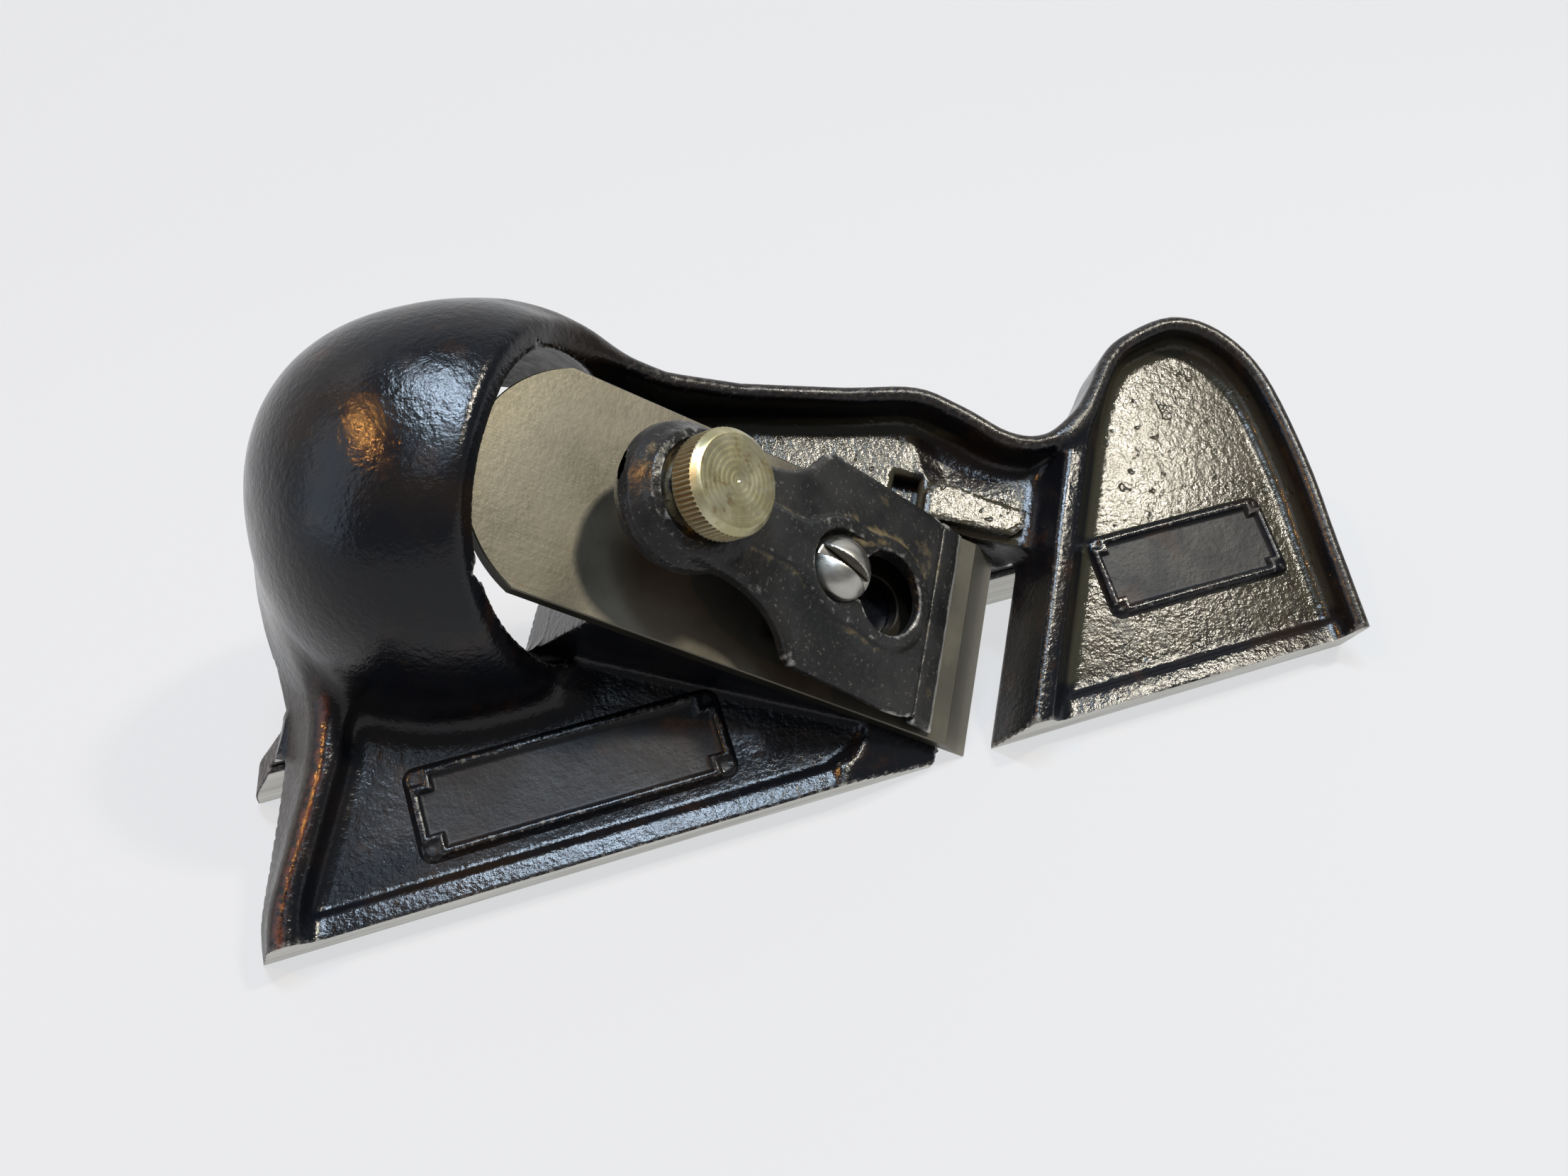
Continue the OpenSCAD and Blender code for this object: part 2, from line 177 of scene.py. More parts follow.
def dome_field(x, y, z, wall):
    """The palm hood's flattened dome, taken in by a wall's thickness."""
    dx, dy = x - HOOD_MID[0], y - HOOD_MID[1]
    ax = np.where(dx < 0, HOOD_HALF[0], HOOD_HALF[1]) - wall
    ay = np.where(dy < 0, HOOD_HALF[2], HOOD_HALF[3]) - wall
    plan = np.abs(dx / ax) ** PLAN_POWER + np.abs(dy / ay) ** PLAN_POWER
    f = (plan ** (HOOD_POWER / PLAN_POWER)
         + np.abs(z / (HOOD_H - wall)) ** HOOD_POWER) ** (1 / HOOD_POWER)
    return (1 - 1 / np.maximum(f, 1e-3)) * np.sqrt(dx ** 2 + dy ** 2 + z ** 2)


def hood_front(x, y, z):
    """The leaning plane that cuts the hood's front, negative on the hood's side."""
    return (x - 33 - 0.55 * y + 0.47 * z) / 1.234


def bed_axes(x, y, z):
    """Distances across the iron, back from its edge, and along and off the bed."""
    ca, sa = math.cos(math.pi / 2 - SKEW), math.sin(math.pi / 2 - SKEW)
    across = (x - EDGE_X) * ca + y * sa
    back = -(x - EDGE_X) * sa + y * ca
    along = back * math.cos(BED_ANGLE) + z * math.sin(BED_ANGLE)
    off = -back * math.sin(BED_ANGLE) + z * math.cos(BED_ANGLE)
    return across, back, along, off


def dish(x, y):
    """How far the web rises out of its flat, for it is slightly dished."""
    across = (x - EDGE_X) * math.sin(SKEW) + y * math.cos(SKEW)
    front = np.clip((x - 100) / 3, 0, 1)
    far = np.clip((across - 24) / 6, 0, 1)
    return (-0.0012 * front * (x - 124) ** 2
            + 0.8 * (1 - front) * far * np.exp(-((x - 76) / 11) ** 2))


def body_field(x, y, z):
    """The casting, with its cast fillets."""
    across, back, along, off = bed_axes(x, y, z)
    plan = column(x, y, OUTLINE)
    slope = np.interp(x, RIM_TOP[:, 0], np.gradient(RIM_TOP[:, 1], RIM_TOP[:, 0]))
    top = above_rim(x, z) / np.sqrt(1 + slope ** 2)
    shell = smax(smax(plan, flare_field(x, y, z), 1.0), top, 1.9)
    # hollow of the tray above the web
    behind = flare_x(y) + flare_lean(y) + REAR_RIM + (RIM_H - z) * 0.12 - x
    floor = WEB + dish(x, y) + faded(
        STRIP + STRIP_TILT * (STRIP_W - np.clip(y, 0, STRIP_W)), (y - STRIP_W) / 0.18)
    recess = RECESS * np.exp(-((across - RECESS_AT[0]) / RECESS_HALF[0]) ** 2)
    floor = floor - faded(recess, (np.abs(back - RECESS_AT[1]) - RECESS_HALF[1]) / 1.6)
    hollow = smax(smax(plan + RIM, behind, 3.0), floor - z, 2.6)
    tray = smax(shell, -hollow, 2.0)
    # palm hood, hollow and cut off at the front
    outer = dome_field(x, y, z, 0.0)
    inner = dome_field(x, y, z, HOOD_WALL)
    hood = smax(outer, hood_front(x, y, z), 1.2)
    solid = smin(tray, hood, 5.0)
    cavity = smax(smax(inner, SOLE_W + FENCE_T - 0.8 - y, 0.8), z - WEB - 2, 0.5)
    cavity = np.minimum(cavity, smax(inner, WEB - z, 1.5))
    solid = smax(solid, -cavity, 1.2)
    # bed ramp, cored from behind
    ramp = np.maximum(box2(across, along, 0.6, 29.0, -20, 56.0), -z)
    ramp = smax(ramp, off, 0.3)
    core = np.maximum(box2(across, along, *CORE),
                      np.maximum(off + CORE_WALL, SOLE_W + FENCE_T + 3.4 - y))
    ramp = smax(ramp, -core, 1.0)
    solid = smin(solid, ramp, 1.6)
    # the solid corner between the strip and the bed
    solid = smin(solid, smax(column(x, y, NOSE), z - WEB - STRIP - 0.1, 0.6), 2.2)
    # rib along the front of the mouth
    rib = smax(smax(polygon_field(back, z, RIB) - 1.0, plan + 1, 1.5), top, 1.5)
    solid = np.maximum(smin(solid, rib, 2.0), -z)
    # fence
    fence = np.maximum(np.maximum(SOLE_W - y, -DROP - z), np.maximum(z - 1, x - SOLE_L - 0.5))
    fence = smax(fence, y - SOLE_W - FENCE_T, 0.8)
    fence = smax(fence, flare_field(x, z + DROP, y - SOLE_W), 0.4)
    solid = smin(solid, fence, 1.6)
    solid = smax(solid, -box2(z, y, -6, -2, SOLE_W - 2, SOLE_W + 0.7), 0.5)
    # machined planes
    solid = np.maximum(solid, -y)
    solid = np.maximum(solid, np.where(y < SOLE_W - 0.01, -z, -DROP - z))
    # mouth, and the room over the bed for the iron
    mouth = np.maximum(np.maximum(-NOSE_FRONT - math.tan(LEAN) * z - back, back - 40),
                       np.where(back > NOSE_BACK, -off, -2.2 - z))
    mouth = np.maximum(smax(mouth, across - IRON_W - SIDE, 3.0), -12 - across)
    solid = smax(solid, -mouth, 0.5)
    room = np.maximum(box2(across, along + 0.02 * (across - 15) ** 2, -0.35, IRON_W + SIDE,
                           10, 82),
                      np.maximum(-off - 0.02, off - 3.4))
    solid = np.maximum(solid, -room)
    # raised pad beyond the mouth's end, the pit behind it, and the screw's hole
    pad = np.maximum(column(across, back, PAD), 3 - z)
    solid = smin(solid, smax(pad, z - WEB - PAD_RISE + PAD_TILT * (x - PAD_X), 0.5), 0.5)
    pit = np.maximum(box2(across, back, *PIT), PIT_FLOOR - z)
    solid = smax(solid, -pit, 1.1)
    hole = np.maximum(np.hypot(across - SCREW_AT[0], along - SCREW_AT[1]) - 2.55, -off - 8)
    return np.maximum(solid, -hole)


CAP_HALF = np.vstack([[(0, 7.6), (14.5, 7.6), (14.5, 33.4)], catmull(
    [(13.9, 34.4), (10.7, 36.9), (8.6, 40.6), (7.7, 45.5), (7.4, 51.5)], 4), [(0, 51.5)]])
BOSS = [(-1, -14), (6, -14), (8.2, -12.4), (9.1, -10.4), (8.9, -8.8), (8, -7.6), (7.4, -6.4),
        (6.5, -6.1), (6, -6.6), (4.9, -7.4), (4.4, -6.8), (4.2, -5.6), (-1, -5.6)]
CAP_LIP, CAP_RISE, CAP_T = 4.7, math.tan(math.radians(13.5)), 3.2


def thumb_axes(v, s, h):
    """Radius from the thumb screw's axis, and height along it."""
    c, n = math.cos(THUMB_TILT), math.sin(THUMB_TILT)
    y, z = s - THUMB_AT[1], h - THUMB_AT[2]
    return np.hypot(v - THUMB_AT[0], y * c + z * n), -y * n + z * c


def midline_box(v, s, half, s0, s1):
    return box2(v, s, MIDLINE - half, MIDLINE + half, s0, s1)


def cap_field(v, s, h):
    """The lever cap, in the frame of the bed."""
    outline = np.vstack([CAP_HALF, (CAP_HALF * (-1, 1))[::-1]])
    plan = column(v - MIDLINE, s, outline)
    top = CAP_LIP + 44.3 * CAP_RISE
    side = polygon_field(s, h, np.array([
        (7, 2.22), (10, 2.22), (12.5, 3.1), (55, top - CAP_T - 0.6), (55, top),
        (10.7, CAP_LIP), (7, 3.1)]))
    solid = smax(plan, side, 1.3)
    r, t = thumb_axes(v, s, h)
    solid = smin(solid, polygon_field(r, t, np.array(BOSS)) - 0.1, 1.6)
    # the raised pads around the keyhole and up to the boss
    low, high = KEY_AT[1], SCREW_AT[1]
    key = np.hypot(v - KEY_AT[0], s - low)
    screw = np.hypot(v - SCREW_AT[0], s - high)
    pads = smin(smin(key - 7.3, midline_box(v, s, 6.6, low, high), 1.0), screw - 6.6, 1.0)
    pads = smin(pads, midline_box(v, s, 3, high, 47), 2.5)
    rise = (s - 12) * CAP_RISE
    pads = np.maximum(smax(pads, h - 5.9 - rise, 0.7), 4.4 - h + rise)
    solid = smin(solid, pads, 0.9)
    # the keyhole, the seat of the screw's head, the thumb screw's hole and the underside
    hole = np.minimum(np.minimum(key - 5.5, screw - 2.9), midline_box(v, s, 2.9, low, high))
    seat = np.minimum(screw - 4.95, midline_box(v, s, 4.95, low, high))
    hole = np.minimum(hole, np.maximum(seat, SEAT_H - h))
    solid = smax(solid, -hole, 0.6)
    solid = np.maximum(solid, -np.maximum(r - 2.45, t))
    under = np.maximum(12 - s, h - IRON_T - 2.6)
    return smax(solid, -under, 0.3)


def screw_field(x, y, z):
    """The cap screw: domed head with a slot, and its shank."""
    ball = (HEAD_R ** 2 + HEAD_RISE ** 2) / (2 * HEAD_RISE)
    r = np.hypot(x, y)
    head = np.hypot(r, z - SEAT_H - HEAD_RISE + ball) - ball
    head = smax(smax(head, r - HEAD_R + 0.05, 0.5), SEAT_H + 0.02 - z, 0.1)
    turn, half_width, bottom = math.radians(72), 0.68, SEAT_H + 0.7
    slot = np.maximum(np.abs(-x * math.sin(turn) + y * math.cos(turn)) - half_width,
                      bottom - z)
    head = smax(head, -slot, 0.22)
    shank = np.maximum(r - 2.5, np.maximum(-7.5 - z, z - SEAT_H - 0.5))
    return np.minimum(head, shank)


# ---- fields into meshes --------------------------------------------------------
def gradient(field, p, e=0.02):
    """Value and unit gradient of a field at points."""
    total, g = 0, np.zeros_like(p)
    for k in ((1, -1, -1), (-1, -1, 1), (-1, 1, -1), (1, 1, 1)):
        q = (p + e * np.array(k))[:, :, None, None]
        f = field(q[:, 0], q[:, 1], q[:, 2]).reshape(-1).astype(float)
        total = total + f / 4
        g += f[:, None] * k
    size = np.linalg.norm(g, axis=1) + 1e-9
    return total / (size / (4 * e)), g / size[:, None]


def contour(field, lo, hi, step):
    """Quads on a field's zero level, with one point in each crossed cell, placed where the
    planes of the crossings meet, so that sharp edges stay sharp."""
    lo = np.array(lo, float)
    line = [(a + step * np.arange(int((b - a) / step) + 2)) for a, b in zip(lo, hi)]
    f = field(line[0][:, None, None], line[1][None, :, None], line[2][None, None, :])
    f = np.broadcast_to(f, tuple(len(a) for a in line))
    inside = f < 0
    n = np.array(f.shape)
    count = sum(inside[i:n[0] - 1 + i, j:n[1] - 1 + j, k:n[2] - 1 + k].astype(np.uint8)
                for i in (0, 1) for j in (0, 1) for k in (0, 1))
    cells = np.argwhere((count > 0) & (count < 8))
    index = np.full(count.shape, -1)
    index[tuple(cells.T)] = np.arange(len(cells))
    sums = np.zeros((13, len(cells)))
    quads = []
    for axis in range(3):
        u, w = (axis + 1) % 3, (axis + 2) % 3
        shift = np.eye(3, dtype=int)[axis]
        a = tuple(slice(0, -1) if i == axis else slice(None) for i in range(3))
        b = tuple(slice(1, None) if i == axis else slice(None) for i in range(3))
        e = np.argwhere(inside[a] != inside[b])
        e = e[(e[:, u] > 0) & (e[:, w] > 0) & (e[:, u] < n[u] - 1) & (e[:, w] < n[w] - 1)]
        fa, fb = f[tuple(e.T)], f[tuple((e + shift).T)]
        p = e.astype(float)
        p[:, axis] += fa / (fa - fb)
        p = lo + p * step
        value, g = gradient(field, p)
        d = (g * p).sum(1) - np.clip(value, -0.3 * step, 0.3 * step)
        ring = []
        for (du, dw) in ((-1, -1), (0, -1), (0, 0), (-1, 0)):
            c = e.copy()
            c[:, u] += du
            c[:, w] += dw
            ring.append(index[tuple(c.T)])
            terms = [g[:, 0] ** 2, g[:, 1] ** 2, g[:, 2] ** 2, g[:, 0] * g[:, 1],
                     g[:, 0] * g[:, 2], g[:, 1] * g[:, 2], *(g * d[:, None]).T, *p.T,
                     np.ones(len(p))]
            for k, term in enumerate(terms):
                sums[k] += np.bincount(ring[-1], term, len(cells))
        q = np.stack(ring, 1)
        q[~inside[tuple(e.T)]] = q[~inside[tuple(e.T)]][:, ::-1]
        quads.append(q)
    mean = sums[9:12].T / np.maximum(sums[12], 1)[:, None]
    pull = 0.03 * sums[12]
    m = np.empty((len(cells), 3, 3))
    for k, (i, j) in enumerate(((0, 0), (1, 1), (2, 2), (0, 1), (0, 2), (1, 2))):
        m[:, i, j] = m[:, j, i] = sums[k]
    m[:, range(3), range(3)] += pull[:, None]
    rhs = sums[6:9].T + pull[:, None] * mean
    verts = np.linalg.solve(m, rhs[:, :, None])[:, :, 0]
    low = lo + cells * step
    return np.clip(verts, low, low + step), np.vstack(quads)


def convexity(mesh):
    """How far each point stands out of its neighbourhood, negative in hollows."""
    n = len(mesh.vertices)
    co = np.empty(n * 3)
    no = np.empty(n * 3)
    ed = np.empty(len(mesh.edges) * 2, int)
    mesh.vertices.foreach_get("co", co)
    mesh.vertex_normals.foreach_get("vector", no)
    mesh.edges.foreach_get("vertices", ed)
    co, no, (a, b) = co.reshape(-1, 3), no.reshape(-1, 3), ed.reshape(-1, 2).T
    d = co[a] - co[b]
    size = np.linalg.norm(d, axis=1) + 1e-12
    links = np.bincount(a, minlength=n) + np.bincount(b, minlength=n) + 1e-9
    v = (np.bincount(a, (no[a] * d).sum(1) / size, n)
         - np.bincount(b, (no[b] * d).sum(1) / size, n)) / links
    for _ in range(3):
        v = 0.5 * v + 0.5 * (np.bincount(a, v[b], n) + np.bincount(b, v[a], n)) / links
    return v


def thinned(verts, faces, share):
    """The same form with a share of its faces, fewest where it is flat."""
    mesh = bpy.data.meshes.new("thin")
    mesh.from_pydata(verts.tolist(), [], faces.tolist())
    obj = bpy.data.objects.new("thin", mesh)
    bpy.context.scene.collection.objects.link(obj)
    mod = obj.modifiers.new("thin", "DECIMATE")
    mod.ratio = share
    done = obj.evaluated_get(bpy.context.evaluated_depsgraph_get()).to_mesh()
    out = np.empty(len(done.vertices) * 3)
    done.vertices.foreach_get("co", out)
    polys = [list(p.vertices) for p in done.polygons]
    bpy.data.objects.remove(obj)
    bpy.data.meshes.remove(mesh)
    return out.reshape(-1, 3), polys


def add_piece(name, verts, faces, to_row, mat, ride, node, crease=38, extra=None,
              mark=None):
    """Makes a visible piece from points in millimetres, and hangs it on its CAD body."""
    mesh = bpy.data.meshes.new(name)
    t = np.array(to_row)
    mesh.from_pydata((verts @ t[:3, :3].T + t[:3, 3]).tolist(), [], [list(q) for q in faces])
    mesh.validate()
    mesh.shade_smooth()
    mesh.set_sharp_from_angle(angle=math.radians(crease))
    local = mesh.attributes.new("local", "FLOAT_VECTOR", "POINT")
    local.data.foreach_set("vector", (np.asarray(verts) * MM).reshape(-1))
    edge = mesh.attributes.new("edge", "FLOAT", "POINT")
    edge.data.foreach_set("value", convexity(mesh))
    for key, values in (extra or {}).items():
        mesh.attributes.new(key, "FLOAT", "POINT").data.foreach_set("value", values)
    if mark:
        n = len(mesh.polygons)
        at, up = np.empty(n * 3), np.empty(n * 3)
        mesh.polygons.foreach_get("center", at)
        mesh.polygons.foreach_get("normal", up)
        back = np.linalg.inv(t)
        at = at.reshape(-1, 3) @ back[:3, :3].T + back[:3, 3]
        up = up.reshape(-1, 3) @ t[:3, :3] / MM
        for key, values in mark(*at.T, *up.T).items():
            mesh.attributes.new(key, "FLOAT", "FACE").data.foreach_set(
                "value", values.astype(float))
    mesh.materials.append(mat)
    obj = bpy.data.objects.new(name, mesh)
    bpy.context.scene.collection.objects.link(obj)
    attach(obj, ride)
    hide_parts(node)
    return obj


def strip_between(rings):
    """Quads between closed rings of equal length."""
    faces, n = [], len(rings[0])
    for a, b in zip(rings, rings[1:]):
        for i in range(n):
            j = (i + 1) % n
            faces.append((a[i], a[j], b[j], b[i]))
    return faces


# ---- materials ------------------------------------------------------------------
class Look:
    """A Principled material and short calls for the nodes that feed it."""

    def __init__(self, name):
        self.mat = bpy.data.materials.new(name)
        self.mat.use_nodes = True
        self.tree = self.mat.node_tree
        self.out = self.tree.nodes["Principled BSDF"]
        self.local = self.attr("local", "Vector")
        self.edge = self.attr("edge", "Fac")

    def put(self, socket, value):
        if isinstance(value, bpy.types.NodeSocket):
            self.tree.links.new(value, socket)
        else:
            socket.default_value = (*value, 1) if isinstance(value, tuple) and \
                socket.type == "RGBA" else value

    def set(self, **inputs):
        for key, value in inputs.items():
            self.put(self.out.inputs[key.replace("_", " ")], value)

    def attr(self, name, output):
        n = self.tree.nodes.new("ShaderNodeAttribute")
        n.attribute_name = name
        return n.outputs[output]

    def noise(self, scale, detail=3.0, rough=0.55, stretch=(1, 1, 1), shift=0.0):
        m = self.tree.nodes.new("ShaderNodeMapping")
        m.inputs["Scale"].default_value = stretch
        m.inputs["Location"].default_value = (shift, shift * 1.7, shift * 0.6)
        self.put(m.inputs["Vector"], self.local)
        n = self.tree.nodes.new("ShaderNodeTexNoise")
        self.put(n.inputs["Vector"], m.outputs["Vector"])
        n.inputs["Scale"].default_value = scale
        n.inputs["Detail"].default_value = detail
        n.inputs["Roughness"].default_value = rough
        return n.outputs["Fac"]

    def ramp(self, value, lo, hi, a=0.0, b=1.0):
        n = self.tree.nodes.new("ShaderNodeMapRange")
        n.interpolation_type = "SMOOTHSTEP"
        for key, v in (("Value", value), ("From Min", lo), ("From Max", hi), ("To Min", a),
                       ("To Max", b)):
            self.put(n.inputs[key], v)
        return n.outputs["Result"]

    def math(self, op, a, b=0.0):
        n = self.tree.nodes.new("ShaderNodeMath")
        n.operation = op
        self.put(n.inputs[0], a)
        self.put(n.inputs[1], b)
        return n.outputs[0]

    def plus(self, a, b):
        return self.math("ADD", a, b)

    def minus(self, a, b):
        return self.math("SUBTRACT", a, b)

    def times(self, a, b):
        return self.math("MULTIPLY", a, b)

    def ragged(self, value, noise, amount):
        """A value with its limit made ragged by a noise."""
        return self.plus(value, self.times(self.minus(noise, 0.5), amount))

    def mix(self, fac, a, b):
        n = self.tree.nodes.new("ShaderNodeMix")
        n.data_type = "RGBA"
        self.put(n.inputs[0], fac)
        self.put(n.inputs[6], a)
        self.put(n.inputs[7], b)
        return n.outputs[2]

    def axis(self, letter):
        n = self.tree.nodes.new("ShaderNodeSeparateXYZ")
        self.put(n.inputs[0], self.local)
        return n.outputs[letter]

    def bump(self, height, depth, strength=1.0, below=None):
        """A relief of a depth in millimetres, on top of another one."""
        n = self.tree.nodes.new("ShaderNodeBump")
        n.inputs["Strength"].default_value = strength
        n.inputs["Distance"].default_value = depth * MM
        self.put(n.inputs["Height"], height)
        if below is not None:
            self.put(n.inputs["Normal"], below)
        return n.outputs["Normal"]


def japanned_casting():
    """Glossy black japanning over a rough casting, rubbed through to grey iron on edges."""
    k = Look("japanned_casting")
    black = k.mix(k.ramp(k.noise(60, 4), 0.45, 0.7), (0.003, 0.0035, 0.005),
                  (0.008, 0.0055, 0.004))
    rust = k.ramp(k.noise(170, 4, 0.6, shift=4), 0.56, 0.72)
    black = k.mix(k.times(rust, 0.4), black, (0.025, 0.012, 0.006))
    grain = k.noise(1500, 4, 0.65)
    worn = k.ramp(k.ragged(k.edge, grain, 0.35), 0.09, 0.21)
    iron = k.mix(k.ramp(grain, 0.35, 0.75), (0.035, 0.033, 0.03), (0.15, 0.145, 0.135))
    color = k.mix(k.times(worn, 0.85), black, iron)
    inside = k.attr("inside", "Fac")
    bare = k.mix(k.ramp(k.noise(420, 4, 0.6, shift=2), 0.35, 0.65), (0.05, 0.048, 0.045),
                 (0.2, 0.195, 0.19))
    color = k.mix(inside, color, bare)
    ground = k.attr("ground", "Fac")
    scratch = k.noise(500, 3, 0.6, (0.05, 1, 1))
    steel = k.mix(k.ramp(scratch, 0.3, 0.7), (0.42, 0.41, 0.37), (0.62, 0.61, 0.56))
    web = k.attr("web", "Fac")
    rubbed = k.times(k.attr("rubbed", "Fac"), k.ramp(grain, 0.3, 0.65, 0.3))
    rubbed = k.times(rubbed, k.minus(1.0, ground))
    color = k.mix(rubbed, color, k.mix(grain, (0.01, 0.009, 0.008), (0.04, 0.034, 0.028)))
    streak = k.times(k.attr("streak", "Fac"), k.ramp(k.noise(700, 4, 0.7), 0.4, 0.56))
    color = k.mix(streak, color, (0.05, 0.016, 0.009))
    rough = k.ramp(k.noise(220, 4), 0.35, 0.7, 0.14, 0.22)
    rough = k.plus(rough, k.times(k.math("MAXIMUM", worn, rubbed), 0.25))
    rough = k.plus(rough, k.times(k.math("MAXIMUM", ground, inside), 0.25))
    rough = k.plus(rough, k.times(web, -0.02))
    rough = k.plus(rough, k.times(k.attr("dull", "Fac"), 0.34))
    color = k.mix(k.times(web, k.minus(1.0, worn)), color, (0.022, 0.02, 0.013))
    lumps = k.times(k.noise(900, 4, 0.55), k.ramp(web, 0, 1, 0.45, 0.42))
    pits = k.ramp(k.noise(480, 2, 0.5, shift=9), 0.64, 0.74, 0.0, -1.0)
    skin = k.bump(lumps, 0.22, 1.0, k.bump(k.times(pits, web), 0.12))
    k.set(Base_Color=k.mix(ground, color, steel), Metallic=k.times(ground, 0.5),
          Roughness=rough, IOR=1.33, Normal=k.bump(k.noise(2300, 3, 0.6), 0.04, 1.0, skin))
    return k.mat


def iron_steel():
    """Dull steel with a yellowish, spotted patina, lighter on its edges, and painted darker
    under the cap as the cap's shadow."""
    k = Look("iron_steel")
    x, y = k.axis("X"), k.axis("Y")
    color = k.mix(k.ramp(k.noise(45, 5, 0.6), 0.42, 0.62), (0.033, 0.0315, 0.024),
                  (0.049, 0.0455, 0.032))
    color = k.mix(k.ramp(k.noise(330, 5, 0.7, shift=1), 0.4, 0.7, 0.0, 0.5), color,
                  (0.028, 0.026, 0.019))
    speck = k.ramp(k.noise(900, 3, 0.7, shift=3), 0.62, 0.74)
    color = k.mix(k.times(speck, 0.5), color, (0.022, 0.016, 0.01))
    rust = k.ramp(k.noise(240, 4, 0.65, shift=6), 0.66, 0.72)
    color = k.mix(k.times(rust, 0.6), color, (0.07, 0.033, 0.012))
    color = k.mix(k.ramp(y, 2.1 * MM, 2.3 * MM, 1.0, 0.0), color, (0.042, 0.04, 0.034))
    color = k.mix(k.ramp(k.edge, 0.1, 0.3), color, (0.2, 0.185, 0.15))
    # painted shadow: the iron under the cap is painted darker for the shade the cap casts on it
    side = k.math("ABSOLUTE", k.minus(x, MIDLINE * MM))
    under = k.times(k.ramp(side, 9 * MM, 10.5 * MM, 1.0, 0.0),
                    k.times(k.ramp(y, 9.5 * MM, 11 * MM), k.ramp(y, 33 * MM, 36 * MM, 1.0, 0.0)))
    color = k.mix(under, color, (0.02, 0.016, 0.011))
    line = k.noise(260, 3, 0.6, (6, 0.25, 1))
    k.set(Base_Color=color, Metallic=0.85,
          Roughness=k.ramp(k.noise(120, 4, shift=7), 0.3, 0.7, 0.33, 0.44),
          Normal=k.bump(k.noise(1100, 3, 0.6), 0.03, 0.6, k.bump(line, 0.03, 0.5)))
    return k.mat


def cap_enamel():
    """Worn grey-black enamel with a bare lip and yellow-brown dirt in its hollows; inside the
    keyhole it is painted near-black as shade, with a little dirt.
    """
    k = Look("cap_enamel")
    grain = k.noise(650, 4, 0.6)
    base = k.mix(k.ramp(k.noise(90, 4), 0.4, 0.65), (0.007, 0.007, 0.007),
                 (0.017, 0.0165, 0.016))
    base = k.mix(k.ramp(k.noise(1700, 3, 0.6, shift=8), 0.6, 0.7, 0.0, 0.7), base,
                 (0.07, 0.066, 0.055))
    dirt = k.ragged(k.times(k.edge, -1.0), k.noise(160, 5, 0.65), 0.7)
    color = k.mix(k.times(k.ramp(dirt, 0.055, 0.165), 0.7), base, (0.11, 0.083, 0.042))
    worn = k.ramp(k.ragged(k.edge, grain, 0.3), 0.085, 0.2)
    lip = k.ramp(k.plus(k.axis("Y"), k.times(k.noise(300), 0.9 * MM)),
                 8.8 * MM, 9.3 * MM, 1.0, 0.0)
    bare = k.math("MAXIMUM", k.times(worn, 0.8), lip)
    color = k.mix(bare, color, k.mix(grain, (0.22, 0.21, 0.19), (0.5, 0.49, 0.46)))
    # painted shade: faces inside the keyhole are painted near-black, with a little yellow-brown
    # dirt in the grain
    hole = k.attr("hole", "Fac")
    color = k.mix(hole, color, k.mix(k.ramp(grain, 0.5, 0.68), (0.004, 0.004, 0.004),
                                     (0.035, 0.028, 0.014)))
    metal = k.times(bare, k.minus(0.8, k.times(hole, 0.8)))
    rough = k.ramp(k.noise(200, 4, shift=2), 0.3, 0.7, 0.24, 0.4)
    k.set(Base_Color=color, Metallic=metal, IOR=1.3,
          Roughness=k.plus(rough, k.times(hole, 0.4)),
          Normal=k.bump(k.noise(1300, 3, 0.6), 0.08, 0.7, k.bump(k.noise(380, 4), 0.4, 0.7)))
    return k.mat


def knob_plating():
    """Worn nickel plate gone yellow, with brown dirt between the knurls."""
    k = Look("knob_plating")
    patch = k.ramp(k.noise(260, 4, 0.6), 0.4, 0.62)
    color = k.mix(patch, (0.36, 0.33, 0.19), (0.46, 0.43, 0.29))
    stain = k.ramp(k.noise(500, 4, 0.7, shift=5), 0.52, 0.7)
    color = k.mix(k.times(stain, 0.75), color, (0.22, 0.15, 0.06))
    dirt = k.attr("knurl", "Fac")
    color = k.mix(dirt, color, (0.20, 0.125, 0.05))
    color = k.mix(k.ramp(k.edge, 0.12, 0.3), color, (0.66, 0.62, 0.5))
    x, y = k.axis("X"), k.axis("Y")
    radius = k.math("SQRT", k.plus(k.times(x, x), k.times(y, y)))
    pace = 9 / MM       # radians per metre, which is a ring every 0.7 mm
    rings = k.math("SINE", k.times(radius, pace))
    k.set(Base_Color=color, Metallic=k.ramp(dirt, 0.0, 1.0, 1.0, 0.6),
          Roughness=k.ramp(k.noise(300, 4, shift=2), 0.3, 0.7, 0.34, 0.46),
          Normal=k.bump(k.noise(1600, 3, 0.6), 0.02, 0.5, k.bump(rings, 0.012)))
    return k.mat


def screw_steel():
    """Scuffed bright steel with brown in the slot."""
    k = Look("screw_steel")
    color = k.mix(k.noise(300, 4), (0.34, 0.33, 0.3), (0.48, 0.465, 0.425))
    color = k.mix(k.ramp(k.edge, -0.1, 0.0, 0.9, 0.0), color, (0.05, 0.035, 0.02))
    line = k.noise(700, 3, 0.6, (1, 0.2, 1))
    k.set(Base_Color=color, Metallic=1.0, Roughness=k.ramp(line, 0.3, 0.7, 0.26, 0.42),
          Normal=k.bump(line, 0.02, 0.5))
    return k.mat


# ---- pieces -----------------------------------------------------------------------
BODY_STEP, BODY_SHARE, CAP_STEP, SCREW_STEP = 0.5, 0.46, 0.36, 0.16


